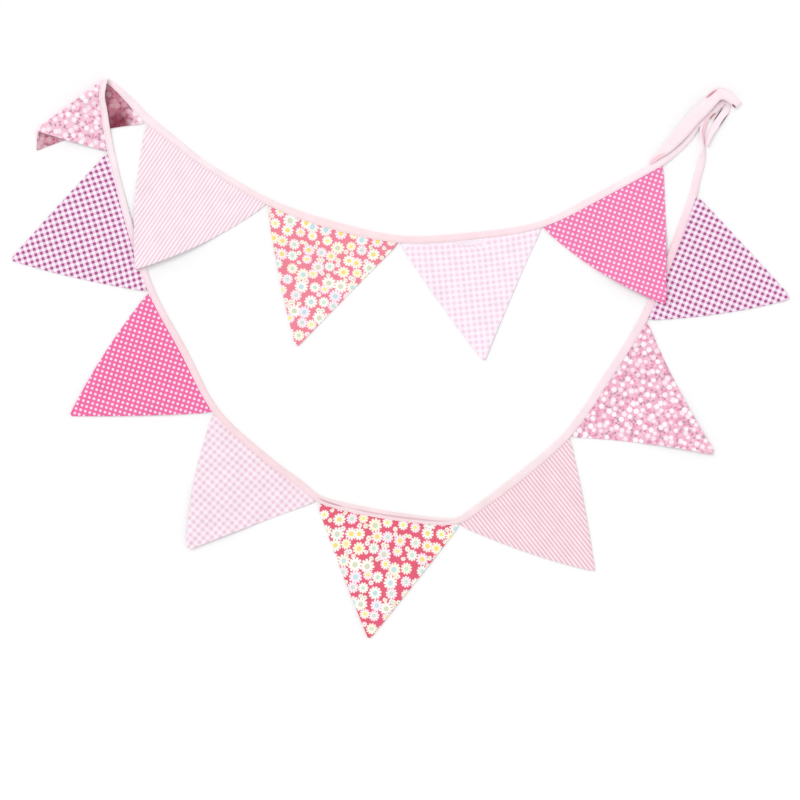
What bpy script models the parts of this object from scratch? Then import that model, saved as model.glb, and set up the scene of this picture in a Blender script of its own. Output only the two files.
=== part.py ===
"""Fabric bunting: twelve double cotton pennants sewn into one folded cotton tape, laid out on a surface.

Run with: blender --background --python part.py
Metres, +Z up. The surface is z = 0, and the origin lies on it under the middle of the layout. The tables
are in millimetres on the surface, x to the right and y up the layout, which is seen from above.
"""

import math
from typing import NamedTuple

import bmesh
import bpy
from mathutils import Matrix, Quaternion, Vector

MM = 0.001
UP = Vector((0.0, 0.0, 1.0))

# Cloth and tape, in millimetres
CLOTH = 1.2
TAPE = 1.0
CLEARANCE = 0.3
TAPE_CLOTH = 21.0
NARROWEST = 3.0
BEND_DEPTH = 2.6
RUN_STEP = 20.0
FOLD_STEP = 7.0
TIE_STEP = 7.0
TIE_SLOT = 0.35
TAPE_HEIGHT = 2 * TAPE + CLOTH + 2 * CLEARANCE
SLOT = CLOTH + 2 * CLEARANCE
BEND_STEPS = 3

# The roll of cloth and tape where the small floral pennant is folded over
ROLL_RADIUS = 7.0
ROLL_LIFT = 2 * ROLL_RADIUS
ROLL_STEPS = 7
WRAP_STEPS = 8
LOWERED_BY = 3.2

# Pennants
DOWN = 9
SEAM_GAP = 4.5
SEAM_MARGIN = 3.0
SETTLE_SHARE = 0.16


class Place(NamedTuple):
    """A place that the tape's sewn edge passes through, its width there and whether pennants meet there."""

    x: float
    y: float
    width: float
    meeting: bool


class Tie(NamedTuple):
    """A place on the middle of a tie: its height, its twist in degrees and the width of its wide side."""

    x: float
    y: float
    z: float
    twist: float
    width: float


class Pennant(NamedTuple):
    """A flat pennant: its tip, how far its sides bow outwards and how its cloth lies."""

    name: str
    fabric: str
    tip_x: float
    tip_y: float
    tip_width: float
    start_bow: float
    end_bow: float
    tip_lift: float
    ripples: float
    ripple_height: float


class Fabric(NamedTuple):
    """The look of a cloth: its main colour and roughness."""

    colour: tuple
    roughness: float


# Sewn edge of the upper run, right to left
UPPER_RUN = (
    Place(375.5, 276.7, 10.5, True),
    Place(290.4, 230.2, 10.7, False),
    Place(201.5, 187.3, 9.2, True),
    Place(98.8, 170.2, 10.0, False),
    Place(-2.0, 165.5, 10.5, True),
    Place(-100.0, 185.2, 12.0, False),
    Place(-191.5, 219.5, 10.0, True),
    Place(-285.9, 276.0, 9.2, False),
    Place(-322.0, 303.4, 11.0, False),
    Place(-364.5, 335.9, 12.2, True),
    Place(-393.0, 367.2, 10.4, False),
    Place(-407.6, 382.7, 8.4, False),
    Place(-416.0, 390.2, 7.5, False),
)

# Sewn edge of the lower run, from the turn at the top left to the right
LOWER_RUN = (
    Place(-428.3, 389.4, 8.5, False),
    Place(-430.8, 374.0, 8.5, False),
    Place(-428.8, 355.4, 9.5, False),
    Place(-419.3, 294.9, 10.0, True),
    Place(-394.5, 195.2, 10.5, False),
    Place(-361.2, 95.1, 9.5, True),
    Place(-314.5, 7.9, 10.0, False),
    Place(-268.7, -77.5, 9.5, True),
    Place(-198.6, -144.4, 10.5, False),
    Place(-144.0, -185.6, 10.5, False),
    Place(-120.4, -204.5, 10.0, True),
    Place(-90.0, -215.5, 11.8, False),
    Place(-22.0, -229.6, 12.2, False),
    Place(54.0, -238.2, 10.4, False),
    Place(83.8, -238.1, 9.0, True),
    Place(105.0, -223.4, 10.5, False),
    Place(164.6, -180.2, 11.5, False),
    Place(241.8, -112.3, 11.0, True),
    Place(299.0, -30.7, 11.5, False),
    Place(351.6, 54.3, 11.5, True),
    Place(391.2, 145.1, 11.2, False),
    Place(423.1, 233.8, 11.2, True),
)

# Upper tie, outwards from the first pennant: up, over at the top right and back above itself, its fold
# drawn across so that one side of the tape is nearly its whole width
UPPER_TIE = (
    Tie(391.6, 295.0, 1.5, 0, 9.5),
    Tie(408.2, 310.6, 1.5, 0, 8.5),
    Tie(418.9, 326.0, 2.6, 0, 8.5),
    Tie(427.6, 342.8, 4.0, 0, 8.5),
    Tie(435.8, 361.0, 4.3, 0, 9.0),
    Tie(443.4, 375.6, 4.4, 0, 11.0),
    Tie(455.0, 383.0, 4.4, 0, 13.0),
    Tie(469.0, 374.6, 4.4, 0, 13.0),
    Tie(479.5, 364.3, 4.6, 0, 13.0),
    Tie(481.2, 362.4, 6.5, 0, 13.0),
    Tie(479.5, 364.3, 8.4, 0, 13.0),
    Tie(472.0, 371.0, 8.6, 0, 13.0),
    Tie(464.6, 376.6, 8.6, 0, 14.5),
    Tie(455.6, 377.6, 8.6, 0, 16.0),
    Tie(446.0, 371.4, 8.6, 0, 17.0),
    Tie(433.4, 358.2, 8.4, 0, 18.5),
    Tie(417.0, 342.5, 7.6, 0, 19.5),
    Tie(400.5, 322.5, 6.6, 0, 19.0),
    Tie(383.4, 303.6, 5.8, 0, 15.0),
    Tie(368.8, 290.2, 5.4, 0, 9.0),
    Tie(354.6, 278.4, 5.4, 0, 3.8),
)

# Lower tie, outwards from the last pennant: on edge where its end comes back beside it, with a loop above
LOWER_TIE = (
    Tie(422.4, 255.3, 1.8, 0, 10.5),
    Tie(428.2, 276.7, 1.7, 0, 10.5),
    Tie(431.8, 291.0, 3.5, 30, 9.0),
    Tie(432.7, 302.4, 4.6, 75, 8.0),
    Tie(430.9, 312.5, 4.6, 60, 8.5),
    Tie(430.4, 325.5, 3.6, 30, 9.0),
    Tie(434.0, 339.0, 1.9, 8, 9.5),
    Tie(442.0, 349.8, 1.3, 0, 10.0),
    Tie(450.5, 358.0, 1.2, 0, 10.0),
    Tie(457.6, 364.8, 1.2, 0, 9.0),
    Tie(463.6, 367.6, 1.2, 0, 8.0),
    Tie(468.0, 364.6, 1.2, 0, 8.0),
    Tie(467.0, 358.4, 1.2, 0, 11.0),
    Tie(461.4, 350.4, 1.2, 0, 12.5),
    Tie(452.6, 337.8, 2.2, 8, 12.0),
    Tie(444.8, 325.3, 3.5, 25, 10.5),
    Tie(438.8, 312.5, 4.3, 50, 9.0),
    Tie(436.8, 304.4, 4.6, 70, 8.0),
)

# Pennants in order along the tape. The folded one stands between the two runs.
UPPER_PENNANTS = (
    Pennant("pennant_01_polka", "polka", 376.9, 78.4, 3.0, 2.0, 9.5, 6.0, 1.5, 1.6),
    Pennant("pennant_02_light_gingham", "light gingham", 118.6, -1.8, 3.5, -1.2, 3.0, 0.0, 1.0, 1.6),
    Pennant("pennant_03_daisy", "daisy", -149.0, 18.6, 4.0, -0.4, 3.0, 0.0, 1.5, 1.2),
    Pennant("pennant_04_stripe", "stripe", -378.8, 128.4, 3.0, 8.5, 7.0, 7.5, 1.0, 1.6),
)
LOWER_PENNANTS = (
    Pennant("pennant_06_purple_gingham", "purple gingham", -555.4, 141.6, 5.0, 1.0, 3.4, 0.0, 1.0, 1.4),
    Pennant("pennant_07_polka", "polka", -471.6, -80.4, 4.0, 5.4, 1.8, 0.0, 1.5, 1.6),
    Pennant("pennant_08_light_gingham", "light gingham", -303.9, -270.0, 7.5, 7.4, -0.6, 3.0, 1.0, 2.0),
    Pennant("pennant_09_daisy", "daisy", -45.2, -399.2, 4.0, 1.5, 0.4, 0.0, 1.5, 1.8),
    Pennant("pennant_10_stripe", "stripe", 276.4, -302.8, 3.0, 5.2, 1.5, 0.0, 1.5, 1.6),
    Pennant("pennant_11_small_floral", "small floral", 445.6, -134.2, 6.5, -4.0, -4.6, 3.0, 1.0, 2.0),
    Pennant("pennant_12_purple_gingham", "purple gingham", 554.6, 86.8, 6.0, 5.6, 1.0, 0.0, 1.0, 1.4),
)
FOLDED_NAME = "pennant_05_small_floral_folded"
FOLDED_FABRIC = "small floral"

# The folded pennant: its tip, where the fold's line ends at its far side, and how far down that is
FOLDED_TIP = (-521.1, 296.7)
FOLD_END = (-519.5, 328.6)
FOLDED_BOW = -6.5
CROSSING_SHARE = 0.53
ROWS_TO_CROSSING = 7
ROWS_BEYOND = 6
LAST_ROW = 0.98
FOLD_RADIUS = 2.8
EDGE_STRIP = 3.0
LOW_LAYER_HEIGHT = 0.72
TOP_EDGE_HEIGHT = 5.0

FABRICS = {
    "polka": Fabric((0.83, 0.07, 0.27, 1.0), 0.85),
    "light gingham": Fabric((0.93, 0.66, 0.80, 1.0), 0.85),
    "daisy": Fabric((0.85, 0.30, 0.34, 1.0), 0.85),
    "stripe": Fabric((0.91, 0.54, 0.65, 1.0), 0.85),
    "small floral": Fabric((0.84, 0.40, 0.52, 1.0), 0.85),
    "purple gingham": Fabric((0.52, 0.20, 0.42, 1.0), 0.85),
    "tape": Fabric((0.96, 0.76, 0.80, 1.0), 0.9),
}


class Section(NamedTuple):
    """One cut across the tape: its middle, its outward and upward directions and its sizes."""

    middle: Vector
    outward: Vector
    upward: Vector
    width: float
    other_width: float
    slot: float


def smooth_step(value):
    """0 below 0, 1 above 1 and a smooth rise between."""
    value = min(max(value, 0.0), 1.0)
    return value * value * (3.0 - 2.0 * value)


def curve_point(rows, index, share):
    """Every column of the rows, read from a smooth curve between row index and the next one."""
    before = rows[max(index - 1, 0)]
    start, end = rows[index], rows[index + 1]
    after = rows[min(index + 2, len(rows) - 1)]
    one, two, three = share, share * share, share**3
    weights = (
        0.5 * (-one + 2 * two - three),
        0.5 * (2 - 5 * two + 3 * three),
        0.5 * (one + 4 * two - 3 * three),
        0.5 * (three - two),
    )
    columns = zip(before, start, end, after)
    return tuple(sum(w * value for w, value in zip(weights, column)) for column in columns)


def along_tape(section):
    """The way along the tape at a section."""
    return section.upward.cross(section.outward)


def sewn_edge(section):
    """The middle of the tape's open edge, where a pennant leaves it."""
    return section.middle - section.outward * section.width / 2


def run_sections(places, side, step_at, lift, lowered_by):
    """The tape along one run, and which of its sections lie where pennants meet.

    side is 1 where the pennants are on the left of the way along the run, and -1 where they are on the
    right. The tape starts at the height of the lift and comes down to the surface over lowered_by places.
    """
    sections, marks = [], []
    for index in range(len(places) - 1):
        if places[index].meeting:
            marks.append(len(sections))
        length = math.dist(places[index][:2], places[index + 1][:2])
        count = max(1, round(length / step_at(index)))
        last = index == len(places) - 2
        for part in range(count + last):
            sections.append(run_section(places, index, part / count, side, lift, lowered_by))
    if places[-1].meeting:
        marks.append(len(sections) - 1)
    return sections, marks


def run_section(places, index, share, side, lift, lowered_by):
    """The tape's section at a share of the way from one place to the next."""
    x, y, width, _ = curve_point(places, index, share)
    near = curve_point(places, index, max(share - 0.02, 0.0))
    far = curve_point(places, index, min(share + 0.02, 1.0))
    along = Vector((far[0] - near[0], far[1] - near[1], 0.0)).normalized()
    outward = along.cross(UP) * side
    height = lift * (1.0 - smooth_step((index + share) / lowered_by))
    middle = Vector((x, y, TAPE_HEIGHT / 2 + height)) + outward * width / 2
    return Section(middle, outward, UP * side, width, width, SLOT)


def roll_sections(last, first):
    """The tape rolled half a turn over the fold, from the end of one run to the start of the next."""
    axis = (along_tape(last) + along_tape(first)).normalized()
    sense = 1.0 if axis.cross(along_tape(last)).z > 0.0 else -1.0
    centre = (last.middle + first.middle) / 2
    drift = axis * (first.middle - last.middle).dot(axis)
    offset = last.middle - centre
    offset -= axis * offset.dot(axis)
    sections = []
    for index in range(1, ROLL_STEPS):
        share = index / ROLL_STEPS
        turn = Quaternion(axis, math.pi * share * sense)
        middle = centre + drift * (share - 0.5) + turn @ offset
        width = last.width + (first.width - last.width) * share
        sections.append(Section(middle, turn @ last.outward, turn @ last.upward, width, width, SLOT))
    return sections


def carried_frame(before, along, outward, upward):
    """The outward and upward directions carried on to a new way along, level wherever it isn't steep."""
    turn = before.rotation_difference(along)
    outward, upward = turn @ outward, turn @ upward
    if abs(along.z) < 0.5:
        upward = UP * math.copysign(1.0, upward.z)
        upward = (upward - along * upward.dot(along)).normalized()
        across = along.cross(upward)
        outward = across * math.copysign(1.0, across.dot(outward))
    return outward, upward


def tie_sections(root, rows):
    """A tie, outwards from the root section, turning over only where its table stands it on edge."""
    table = (Tie(*root.middle, 0.0, root.width), *rows)
    readings = [(0.0, table[0])]
    for index in range(len(table) - 1):
        length = math.dist(table[index][:3], table[index + 1][:3])
        count = max(1, round(length / TIE_STEP))
        for part in range(1, count + 1):
            readings.append((index + part / count, Tie(*curve_point(table, index, part / count))))
    points = [Vector(row[:3]) for _, row in readings]
    outward, upward = root.outward, root.upward
    before = (points[1] - points[0]).normalized()
    sections = []
    for index in range(1, len(points)):
        station, row = readings[index]
        along = (points[min(index + 1, len(points) - 1)] - points[index - 1]).normalized()
        outward, upward = carried_frame(before, along, outward, upward)
        before = along
        twist = Quaternion(along, math.radians(row.twist))
        slot = SLOT + (TIE_SLOT - SLOT) * smooth_step(station)
        other = max(min(TAPE_CLOTH - row.width, row.width), NARROWEST)
        sections.append(Section(points[index], twist @ outward, twist @ upward, row.width, other, slot))
    return sections


def tape_outline(section):
    """The tape cut across: two layers joined by a bend at the outward side, as points around its cloth."""
    radius = (section.slot + TAPE) / 2
    outside = section.width / 2
    bend = outside - radius - TAPE / 2
    layers = [(-outside, -radius, 0.0, -1.0), (bend, -radius, 0.0, -1.0)]
    for part in range(1, BEND_STEPS):
        angle = math.pi * part / BEND_STEPS
        out, up = math.sin(angle), -math.cos(angle)
        layers.append((bend + radius * out, radius * up, out, up))
    layers.append((bend, radius, 0.0, 1.0))
    layers.append((outside - section.other_width, radius, 0.0, 1.0))
    outer = [Vector((x + out * TAPE / 2, y + up * TAPE / 2)) for x, y, out, up in layers]
    inner = [Vector((x - out * TAPE / 2, y - up * TAPE / 2)) for x, y, out, up in layers]
    return outer + inner[::-1]


def sweep_tape(name, sections):
    """A closed solid through the tape's sections, with its two cut ends filled."""
    mesh = bmesh.new()
    rings = []
    for section in sections:
        outline = tape_outline(section)
        ring = [
            mesh.verts.new((section.middle + section.outward * point.x + section.upward * point.y) * MM)
            for point in outline
        ]
        rings.append(ring)
    count = len(rings[0])
    for ring, following in zip(rings, rings[1:]):
        for index in range(count):
            after = (index + 1) % count
            mesh.faces.new((ring[index], ring[after], following[after], following[index]))
    layers = count // 2
    for ring in (rings[0], rings[-1]):
        for index in range(layers - 1):
            mesh.faces.new((ring[index], ring[index + 1], ring[count - 2 - index], ring[count - 1 - index]))
    bmesh.ops.recalc_face_normals(mesh, faces=mesh.faces)
    return add_object(name, mesh, FABRICS["tape"])


def add_object(name, mesh, fabric):
    """A new object from a bmesh, in the bunting's collection and with its own material."""
    data = bpy.data.meshes.new(name)
    mesh.to_mesh(data)
    mesh.free()
    data.shade_smooth()
    data.set_sharp_from_angle(angle=math.radians(40))
    thing = bpy.data.objects.new(name, data)
    bpy.data.collections["fabric_bunting"].objects.link(thing)
    material = bpy.data.materials.new(name)
    material.use_nodes = True
    shader = material.node_tree.nodes["Principled BSDF"]
    shader.inputs["Base Color"].default_value = fabric.colour
    shader.inputs["Roughness"].default_value = fabric.roughness
    shader.inputs["Metallic"].default_value = 0.0
    data.materials.append(material)
    return thing


def add_cloth(name, rows, fabric):
    """A sheet of cloth through rows of points, given its thickness by a Solidify modifier."""
    mesh = bmesh.new()
    grid = [[mesh.verts.new(point * MM) for point in row] for row in rows]
    for row, following in zip(grid, grid[1:]):
        for index in range(len(row) - 1):
            mesh.faces.new((row[index], row[index + 1], following[index + 1], following[index]))
    bmesh.ops.recalc_face_normals(mesh, faces=mesh.faces)
    thing = add_object(name, mesh, FABRICS[fabric])
    thickness = thing.modifiers.new("Cloth", "SOLIDIFY")
    thickness.thickness = CLOTH * MM
    thickness.offset = 0.0
    return thing


def between(first, second, distance):
    """The section a distance from the first one towards the second."""
    share = distance / (second.middle - first.middle).length
    return first._replace(
        middle=first.middle.lerp(second.middle, share),
        outward=first.outward.lerp(second.outward, share).normalized(),
        width=first.width + (second.width - first.width) * share,
    )


def pennant_seam(sections):
    """The tape's sections that hold one pennant, ending a little short of its neighbours."""
    start = between(sections[0], sections[1], SEAM_GAP / 2)
    end = between(sections[-1], sections[-2], SEAM_GAP / 2)
    return [start, *sections[1:-1], end]


def sewn_rows(seam):
    """The rows of a pennant inside the tape, at its edge and just outside it."""
    hidden = [section.middle + section.outward * (section.width / 2 - BEND_DEPTH) for section in seam]
    edge = [sewn_edge(section) for section in seam]
    outside = [sewn_edge(section) - section.outward * SEAM_MARGIN for section in seam]
    return [hidden, edge, outside]


def on_surface(point):
    """The place on the surface under a point."""
    return Vector((point.x, point.y, 0.0))


def length_shares(points):
    """How far along a row of points each one is, as a share of the whole row."""
    lengths = [0.0]
    for point, following in zip(points, points[1:]):
        lengths.append(lengths[-1] + (following - point).length)
    return [length / lengths[-1] for length in lengths]


def spread_along(path, shares):
    """Points at the given shares of a path's length."""
    reached = length_shares(path)
    found = []
    for share in shares:
        index = next(i for i in range(1, len(path)) if share <= reached[i] + 1e-9)
        span = reached[index] - reached[index - 1]
        found.append(path[index - 1].lerp(path[index], min((share - reached[index - 1]) / span, 1.0)))
    return found


def side_point(root, tip, share, bow, inside):
    """A point down a pennant's side, which bows away from the pennant's inside."""
    outwards = (tip - root).normalized().cross(UP)
    if outwards.dot(inside - root) > 0.0:
        outwards = -outwards
    return root.lerp(tip, share) + outwards * bow * 4.0 * share * (1.0 - share)


def flat_pennant_rows(pennant, seam):
    """The rows of a flat pennant, from its edge inside the tape down to its tip."""
    rows = sewn_rows(seam)
    edge = rows[-1]
    shares = length_shares(edge)
    start, end = on_surface(edge[0]), on_surface(edge[-1])
    tip = Vector((pennant.tip_x, pennant.tip_y, 0.0))
    half_tip = (end - start).normalized() * pennant.tip_width / 2
    for down in range(1, DOWN + 1):
        share = down / DOWN
        left = side_point(start, tip - half_tip, share, pennant.start_bow, end)
        right = side_point(end, tip + half_tip, share, pennant.end_bow, start)
        row = []
        for part, sewn in zip(shares, edge):
            sag = on_surface(sewn) - start.lerp(end, part)
            point = left.lerp(right, part) + sag * (1.0 - share)
            point.z = cloth_height(pennant, part, share, sewn.z)
            row.append(point)
        rows.append(row)
    return rows


def cloth_height(pennant, part, share, at_tape):
    """The height of a pennant's cloth: down from the tape to the surface, with soft ripples."""
    settled = smooth_step(share / SETTLE_SHARE)
    ripple = 0.5 - 0.5 * math.cos(2.0 * math.pi * pennant.ripples * (part + 0.25 * share))
    ripple *= pennant.ripple_height * smooth_step(share * 2.5)
    lifted = pennant.tip_lift * smooth_step((share - 0.35) / 0.35)
    return at_tape * (1.0 - settled) + (CLOTH / 2 + ripple) * settled + lifted


def fold_row(share, low_root, low_turn, top_turn, top_root):
    """One row across the folded pennant: its lower layer, its way round the fold and its top layer."""
    tip, fold_end = Vector((*FOLDED_TIP, 0.0)), Vector((*FOLD_END, 0.0))
    crossing = min(share / CROSSING_SHARE, 1.0)
    beyond = (max(share, CROSSING_SHARE) - CROSSING_SHARE) / (1.0 - CROSSING_SHARE)
    folded = 1.0 - smooth_step(beyond * 2.2)
    settled = smooth_step(share / SETTLE_SHARE)
    low_height = UP * (low_turn.z * (1.0 - settled) + LOW_LAYER_HEIGHT * settled)
    radius = ROLL_RADIUS + (FOLD_RADIUS - ROLL_RADIUS) * crossing
    strip = EDGE_STRIP * (1.0 - 0.8 * beyond)

    crease = (fold_end - on_surface(low_turn)).normalized()
    low = side_point(on_surface(low_root), tip, share, FOLDED_BOW, on_surface(low_turn))
    edge = fold_end.lerp(tip, beyond)
    away = UP.cross(crease) * -folded + (edge - low).normalized() * (1.0 - folded)
    away.normalize()
    inset = away * (FOLD_RADIUS * folded + 2 * strip * (1.0 - folded))
    low_line = on_surface(low_turn).lerp(edge - inset, crossing)
    top_line = on_surface(top_turn).lerp(edge - inset, crossing)

    turned = max(math.pi * folded, 0.01)
    curl = (strip + (math.pi * radius - strip) * folded) / turned
    wrap = []
    for part in range(WRAP_STEPS + 1):
        angle = turned * part / WRAP_STEPS
        across = low_line.lerp(top_line, part / WRAP_STEPS) + away * curl * math.sin(angle)
        wrap.append(across + low_height + UP * curl * (1.0 - math.cos(angle)))
    lower = [low + low_height, wrap[0]]
    if crossing >= 1.0:
        return lower, wrap, [wrap[-1], wrap[-1] + (away * math.cos(turned) + UP * math.sin(turned)) * strip]

    far = on_surface(top_root).lerp(edge - inset - away * strip, crossing)
    settled = smooth_step(crossing * 2.5)
    far_height = top_root.z * (1.0 - settled) + TOP_EDGE_HEIGHT * settled
    far_height += (wrap[-1].z - far_height) * smooth_step((crossing - 0.55) / 0.45)
    top = []
    for part in range(9):
        height = wrap[-1].z + (far_height - wrap[-1].z) * smooth_step(part / 8)
        top.append(on_surface(wrap[-1]).lerp(far, part / 8) + UP * height)
    return lower, wrap, top


def folded_pennant_rows(seam, low_turn, top_turn):
    """The rows of the pennant that is folded over itself, from its edge inside the tape to its tip.

    low_turn and top_turn are the sections of its seam where the tape starts and ends its roll.
    """
    rows = sewn_rows(seam)
    edge = rows[-1]
    corners = (edge[0], edge[low_turn], edge[top_turn], edge[-1])
    parts = (edge[: low_turn + 1], edge[low_turn : top_turn + 1], edge[top_turn:])
    shares = [length_shares(part) for part in parts]

    def spread_row(share):
        paths = fold_row(share, *corners)
        low, wrap, top = (spread_along(path, places) for path, places in zip(paths, shares))
        return low + wrap[1:] + top[1:]

    ideal = spread_row(0.0)
    downs = [CROSSING_SHARE * down / ROWS_TO_CROSSING for down in range(1, ROWS_TO_CROSSING + 1)]
    left = LAST_ROW - CROSSING_SHARE
    downs += [CROSSING_SHARE + left * down / ROWS_BEYOND for down in range(1, ROWS_BEYOND + 1)]
    for share in downs:
        kept = 1.0 - smooth_step(share / 0.3)
        rows.append([
            point + (sewn - plain) * kept for point, sewn, plain in zip(spread_row(share), edge, ideal)
        ])
    return rows


def clear_scene():
    """Removes what the scene held and makes the bunting's collection."""
    for thing in list(bpy.data.objects):
        bpy.data.objects.remove(thing, do_unlink=True)
    collection = bpy.data.collections.new("fabric_bunting")
    bpy.context.scene.collection.children.link(collection)


def centre_layout():
    """Moves every mesh so that the layout's middle lies over the origin."""
    collection = bpy.data.collections["fabric_bunting"]
    bpy.context.view_layer.update()
    graph = bpy.context.evaluated_depsgraph_get()
    corners = [
        corner
        for thing in collection.objects
        for corner in thing.evaluated_get(graph).bound_box
    ]
    middle = [(min(c[axis] for c in corners) + max(c[axis] for c in corners)) / 2 for axis in (0, 1)]
    lowest = min(c[2] for c in corners)
    shift = Matrix.Translation((-middle[0], -middle[1], -lowest))
    for thing in collection.objects:
        thing.data.transform(shift)


def main():
    """Builds the tape and the twelve pennants."""
    clear_scene()
    upper, upper_marks = run_sections(
        UPPER_RUN, 1, lambda index: FOLD_STEP if index >= 9 else RUN_STEP, 0.0, 1.0
    )
    lower, lower_marks = run_sections(
        LOWER_RUN, -1, lambda index: FOLD_STEP if index < 3 else RUN_STEP, ROLL_LIFT, LOWERED_BY
    )
    roll = roll_sections(upper[-1], lower[0])
    upper_tie = tie_sections(upper[0], UPPER_TIE)
    lower_tie = tie_sections(lower[-1], LOWER_TIE)
    sweep_tape("binding_tape", [*upper_tie[::-1], *upper, *roll, *lower, *lower_tie])
    for number, pennant in enumerate(UPPER_PENNANTS):
        seam = pennant_seam(upper[upper_marks[number] : upper_marks[number + 1] + 1])
        add_cloth(pennant.name, flat_pennant_rows(pennant, seam), pennant.fabric)
    for number, pennant in enumerate(LOWER_PENNANTS):
        seam = pennant_seam(lower[lower_marks[number] : lower_marks[number + 1] + 1])
        add_cloth(pennant.name, flat_pennant_rows(pennant, seam), pennant.fabric)
    before_turn = upper[upper_marks[-1] :]
    seam = pennant_seam([*before_turn, *roll, *lower[: lower_marks[0] + 1]])
    low_turn = len(before_turn) - 1
    add_cloth(FOLDED_NAME, folded_pennant_rows(seam, low_turn, low_turn + ROLL_STEPS), FOLDED_FABRIC)
    centre_layout()


if __name__ == "__main__":
    main()
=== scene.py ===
"""Looks of the fabric bunting: twelve printed cotton pennants sewn into one folded tape.

It lies on a pale surface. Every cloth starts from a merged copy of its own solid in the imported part, so it
lies where the solid lies. Bevels and subdivision give it turned edges and soft bends, and a print map in
metres, which follows the cloth, carries its weave and its pattern. Metres, +Z up. Sizes whose names end in
mm are in millimetres.
"""

import logging
import math
from dataclasses import dataclass
from enum import Enum

import bmesh
import bpy
import numpy as np
from mathutils import Matrix, Vector, noise

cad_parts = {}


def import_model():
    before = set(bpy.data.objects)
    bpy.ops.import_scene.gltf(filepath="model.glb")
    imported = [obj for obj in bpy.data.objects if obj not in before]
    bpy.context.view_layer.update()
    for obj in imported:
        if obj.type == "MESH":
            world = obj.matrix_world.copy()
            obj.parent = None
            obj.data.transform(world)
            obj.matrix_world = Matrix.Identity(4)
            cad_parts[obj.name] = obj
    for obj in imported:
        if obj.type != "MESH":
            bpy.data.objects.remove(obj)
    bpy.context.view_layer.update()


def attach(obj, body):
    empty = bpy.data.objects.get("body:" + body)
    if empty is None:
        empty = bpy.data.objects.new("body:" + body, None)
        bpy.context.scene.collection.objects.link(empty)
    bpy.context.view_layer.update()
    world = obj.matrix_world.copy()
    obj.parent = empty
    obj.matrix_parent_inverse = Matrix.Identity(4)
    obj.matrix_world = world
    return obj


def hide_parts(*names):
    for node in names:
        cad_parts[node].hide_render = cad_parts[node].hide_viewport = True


MM = 0.001
UP = Vector((0.0, 0.0, 1.0))
BODY = "root"
PRINT_MAP = "print_map"

# Where the layout's own zero point lies in the part's frame, in millimetres
LAYOUT_ZERO = (0.2, -0.23)

Source = bpy.types.Node | bpy.types.NodeSocket | float | tuple

log = logging.getLogger("bunting")


class Slot(Enum):
    """The record's material slots."""

    TAPE = "tape"
    POLKA = "polka"
    LIGHT_GINGHAM = "light_gingham"
    DAISY = "daisy"
    STRIPE = "stripe"
    SMALL_FLORAL = "small_floral"
    PURPLE_GINGHAM = "purple_gingham"


def linear(hex_colour: str) -> tuple[float, float, float, float]:
    """Turns an sRGB hex value into the linear colour that a shader takes.

    Args:
        hex_colour: a value such as "#FF80A0".

    Returns:
        Red, green, blue and an alpha of 1.
    """
    channels = [int(hex_colour[place : place + 2], 16) / 255 for place in (1, 3, 5)]
    bent = [value / 12.92 if value <= 0.04045 else ((value + 0.055) / 1.055) ** 2.4 for value in channels]
    return (bent[0], bent[1], bent[2], 1.0)


def laid(x_mm: float, y_mm: float) -> Vector:
    """A place on the surface, in metres, from its place in the layout.

    Args:
        x_mm: how far right of the layout's zero point it is.
        y_mm: how far up from it.

    Returns:
        The place in the part's frame.
    """
    return Vector(((x_mm + LAYOUT_ZERO[0]) * MM, (y_mm + LAYOUT_ZERO[1]) * MM, 0.0))


def eased(value: float) -> float:
    """0 below 0, 1 above 1 and a smooth rise between."""
    value = min(max(value, 0.0), 1.0)
    return value * value * (3.0 - 2.0 * value)


def add_object(name: str, data: bpy.types.ID) -> bpy.types.Object:
    """Puts a new object in the scene.

    Args:
        name: the object's name.
        data: its mesh, lamp or camera.

    Returns:
        The new object.
    """
    thing = bpy.data.objects.new(name, data)
    bpy.context.scene.collection.objects.link(thing)
    return thing


def add_mesh(name: str, mesh: bmesh.types.BMesh) -> bpy.types.Object:
    """Puts a finished mesh in the scene as a new object.

    Args:
        name: the object's name.
        mesh: what it is built in, which is freed.

    Returns:
        The new object.
    """
    data = bpy.data.meshes.new(name)
    mesh.to_mesh(data)
    mesh.free()
    return add_object(name, data)


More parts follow.
